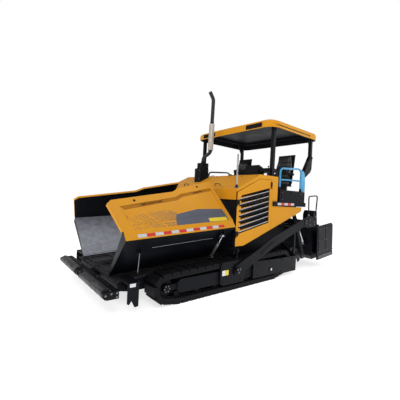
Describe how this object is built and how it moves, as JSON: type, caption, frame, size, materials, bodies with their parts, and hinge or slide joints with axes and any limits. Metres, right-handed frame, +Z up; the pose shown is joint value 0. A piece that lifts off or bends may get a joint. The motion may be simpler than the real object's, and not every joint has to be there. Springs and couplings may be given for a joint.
{
  "type": "tracked asphalt paver",
  "caption": "Tracked asphalt paver with folding hopper wings, push rollers, louvred engine doors, canopy, augers and an extending screed.",
  "frame": {"origin": "centre of the bounding box in plan, on the ground under the tracks", "axes": "+X forward to the hopper and push rollers, +Y to the machine's left, +Z up"},
  "size_m": [6.4312, 2.69, 4.3657],
  "materials": {
    "machine_yellow": "amber yellow machine enamel, satin, light dust",
    "machine_black": "black machine enamel, semi-gloss",
    "hopper_steel": "abraded bare steel of the material flow",
    "track_shoe": "black bolt-on track pads on dark chain",
    "screed_plate": "worn wear-resistant steel",
    "cylinder_rod": "hard chrome, polished",
    "seat_vinyl": "dark grey seat vinyl",
    "blue_wrap": "light blue rails, satin",
    "exhaust_steel": "dark heat-tinted steel with a bright heat guard",
    "console_plastic": "black moulded plastic",
    "zinc_rod": "zinc-plated round bar"
  },
  "bodies": {
    "chassis": {"track_left": "track_shoe", "track_right": "track_shoe", "track_frames": "machine_black", "main_frame": "machine_black", "engine_block": "machine_black", "hopper_floor": "hopper_steel", "conveyor_slats": "hopper_steel", "conveyor_tunnel": "hopper_steel", "hopper_rear_wall": "machine_black", "hood_shell": "machine_yellow", "muffler": "machine_black", "exhaust_stack": "exhaust_steel", "guide_pole": "zinc_rod", "deck": "machine_black", "side_boxes": "machine_black", "control_console": "console_plastic", "seat_frames": "machine_black", "seat_cushions": "seat_vinyl", "guard_rails": "blue_wrap", "canopy_posts": "machine_black", "canopy_roof": "machine_yellow", "tow_guides": "machine_black", "side_guards": "machine_black", "auger_frame": "machine_black"},
    "wing_left": {"wing_left": "machine_yellow"},
    "wing_right": {"wing_right": "machine_yellow"},
    "wing_barrel_left": {"wing_barrel_left": "machine_black"},
    "wing_barrel_right": {"wing_barrel_right": "machine_black"},
    "wing_rod_left": {"wing_rod_left": "cylinder_rod"},
    "wing_rod_right": {"wing_rod_right": "cylinder_rod"},
    "push_beam": {"push_beam": "machine_black"},
    "push_roller_left": {"push_roller_left": "screed_plate"},
    "push_roller_right": {"push_roller_right": "screed_plate"},
    "hood_door_left": {"hood_door_left": "machine_yellow"},
    "hood_door_right": {"hood_door_right": "machine_yellow"},
    "screed": {"tow_arms": "machine_black", "screed_main": "machine_black", "screed_handrails": "machine_black"},
    "screed_extension_left": {"screed_extension_left": "machine_black"},
    "screed_extension_right": {"screed_extension_right": "machine_black"},
    "lift_barrels": {"lift_barrels": "machine_black"},
    "lift_rods": {"lift_rods": "cylinder_rod"},
    "auger_left": {"auger_left": "screed_plate"},
    "auger_right": {"auger_right": "screed_plate"}
  },
  "joints": [
    {"name": "wing_left_fold", "type": "hinge", "parent": "chassis", "child": "wing_left", "pos_m": [3, 0.65, 0.45], "axis": [0.9984, 0, -0.0558], "range_deg": [-24, 18]},
    {"name": "wing_barrel_left_pivot", "type": "hinge", "parent": "chassis", "child": "wing_barrel_left", "pos_m": [1.07923, 0.936, 0.57942], "axis": [0.9984, 0, -0.0558], "range_deg": [-32.5, 24.5]},
    {"name": "wing_rod_left_stroke", "type": "slide", "parent": "wing_barrel_left", "child": "wing_rod_left", "axis": [0.0463, 0.5581, 0.8285], "range_m": [-0.084, 0.064]},
    {"name": "wing_right_fold", "type": "hinge", "parent": "chassis", "child": "wing_right", "pos_m": [3, -0.65, 0.45], "axis": [-0.9984, 0, 0.0558], "range_deg": [-24, 18]},
    {"name": "wing_barrel_right_pivot", "type": "hinge", "parent": "chassis", "child": "wing_barrel_right", "pos_m": [1.07923, -0.936, 0.57942], "axis": [-0.9984, 0, 0.0558], "range_deg": [-32.5, 24.5]},
    {"name": "wing_rod_right_stroke", "type": "slide", "parent": "wing_barrel_right", "child": "wing_rod_right", "axis": [0.0463, -0.5581, 0.8285], "range_m": [-0.084, 0.064]},
    {"name": "push_beam_swivel", "type": "hinge", "parent": "chassis", "child": "push_beam", "pos_m": [2.95, 0, 0.317], "axis": [0, 0, 1], "range_deg": [-4, 4]},
    {"name": "push_roller_left_spin", "type": "hinge", "parent": "push_beam", "child": "push_roller_left", "pos_m": [3.141, 0.6475, 0.33], "axis": [0, 1, 0], "continuous": true},
    {"name": "push_roller_right_spin", "type": "hinge", "parent": "push_beam", "child": "push_roller_right", "pos_m": [3.141, -0.6475, 0.33], "axis": [0, 1, 0], "continuous": true},
    {"name": "hood_door_left_hinge", "type": "hinge", "parent": "chassis", "child": "hood_door_left", "pos_m": [0.762, 1.248, 1.3], "axis": [0, 0, 1], "range_deg": [-90, 0]},
    {"name": "hood_door_right_hinge", "type": "hinge", "parent": "chassis", "child": "hood_door_right", "pos_m": [0.762, -1.248, 1.3], "axis": [0, 0, 1], "range_deg": [0, 90]},
    {"name": "screed_lift", "type": "hinge", "parent": "chassis", "child": "screed", "pos_m": [0.735, 0, 0.38], "axis": [0, 1, 0], "range_deg": [-3.9, 5]},
    {"name": "screed_extension_left_travel", "type": "slide", "parent": "screed", "child": "screed_extension_left", "axis": [0, 1, 0], "range_m": [0, 0.9]},
    {"name": "screed_extension_right_travel", "type": "slide", "parent": "screed", "child": "screed_extension_right", "axis": [0, -1, 0], "range_m": [0, 0.9]},
    {"name": "lift_barrels_pivot", "type": "hinge", "parent": "chassis", "child": "lift_barrels", "pos_m": [-1.56, 0, 1.45], "axis": [0, 1, 0], "range_deg": [-6.2, 8]},
    {"name": "lift_rods_stroke", "type": "slide", "parent": "lift_barrels", "child": "lift_rods", "axis": [-0.5845, 0, -0.8114], "range_m": [-0.22, 0.172]},
    {"name": "auger_left_spin", "type": "hinge", "parent": "chassis", "child": "auger_left", "pos_m": [-1.85, 0.6, 0.345], "axis": [0, 1, 0], "continuous": true},
    {"name": "auger_right_spin", "type": "hinge", "parent": "chassis", "child": "auger_right", "pos_m": [-1.85, -0.6, 0.345], "axis": [0, 1, 0], "continuous": true}
  ],
  "couplings": [
    {"joint": "wing_barrel_left_pivot", "follows": "wing_left_fold", "ratio": 1.335},
    {"joint": "wing_rod_left_stroke", "follows": "wing_left_fold", "m_per_rad": 0.195},
    {"joint": "wing_barrel_right_pivot", "follows": "wing_right_fold", "ratio": 1.335},
    {"joint": "wing_rod_right_stroke", "follows": "wing_right_fold", "m_per_rad": 0.195},
    {"joint": "lift_barrels_pivot", "follows": "screed_lift", "ratio": 1.517},
    {"joint": "lift_rods_stroke", "follows": "screed_lift", "m_per_rad": -2.472}
  ]
}
